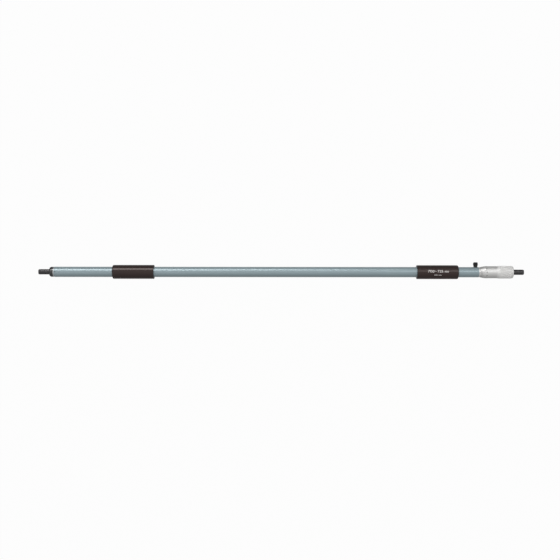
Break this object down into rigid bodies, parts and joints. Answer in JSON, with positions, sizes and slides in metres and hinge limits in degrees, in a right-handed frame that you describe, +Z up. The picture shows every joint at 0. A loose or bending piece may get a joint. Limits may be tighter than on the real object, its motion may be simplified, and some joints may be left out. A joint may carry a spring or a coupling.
{
  "type": "inside micrometer",
  "caption": "Long tubular inside micrometer with a fixed anvil, insulating grips, a clamp knob and a screw head whose knurled thimble feeds the spindle out.",
  "frame": {"origin": "the fixed measuring face, on the measuring axis", "axes": "+X along the measuring axis towards the thimble, +Z up with the micrometer lying on its grips and its clamp knob"},
  "size_m": [0.7, 0.0233, 0.02],
  "materials": {
    "tube_enamel": "satin bluish-grey baked enamel",
    "grip_plastic": "dark brown-black moulded plastic, satin",
    "holder_steel": "turned, bright",
    "pin_steel": "dark",
    "black_oxide": "black, semi-gloss",
    "anvil_steel": "dark hardened steel, ground",
    "carbide": "lapped",
    "ground_steel": "ground",
    "shoe_brass": "turned",
    "satin_chrome": "satin chrome plate"
  },
  "bodies": {
    "frame": {"measuring_tube": "tube_enamel", "front_grip": "grip_plastic", "rear_grip": "grip_plastic", "anvil_holder": "holder_steel", "holder_pin": "pin_steel", "anvil_lock_nut": "black_oxide", "fixed_anvil": "anvil_steel", "fixed_anvil_tip": "carbide", "spindle_guide": "ground_steel", "graduated_sleeve": "satin_chrome", "adjusting_nut": "ground_steel"},
    "spindle_slide": {"spindle_anvil_tip": "carbide"},
    "spindle_screw": {"spindle": "ground_steel", "thimble": "satin_chrome", "thimble_cap": "satin_chrome", "spindle_anvil": "anvil_steel"},
    "clamp_slide": {"clamp_shoe": "shoe_brass"},
    "clamp_screw": {"clamp_screw": "black_oxide"}
  },
  "joints": [
    {"name": "spindle_feed", "type": "slide", "parent": "frame", "child": "spindle_slide", "axis": [1, 0, 0], "range_m": [0, 0.025]},
    {"name": "thimble_turn", "type": "hinge", "parent": "spindle_slide", "child": "spindle_screw", "pos_m": [0.66, 0, 0], "axis": [1, 0, 0], "range_deg": [0, 18000]},
    {"name": "clamp_press", "type": "slide", "parent": "frame", "child": "clamp_slide", "axis": [0, -0.8385, 0.5449], "range_m": [0, 0.00025]},
    {"name": "clamp_turn", "type": "hinge", "parent": "clamp_slide", "child": "clamp_screw", "pos_m": [0.6304, 0, 0], "axis": [0, -0.8385, 0.5449], "range_deg": [0, 128.57]}
  ],
  "couplings": [
    {"joint": "thimble_turn", "follows": "spindle_feed", "rad_per_m": 12566},
    {"joint": "clamp_turn", "follows": "clamp_press", "rad_per_m": 8976}
  ]
}
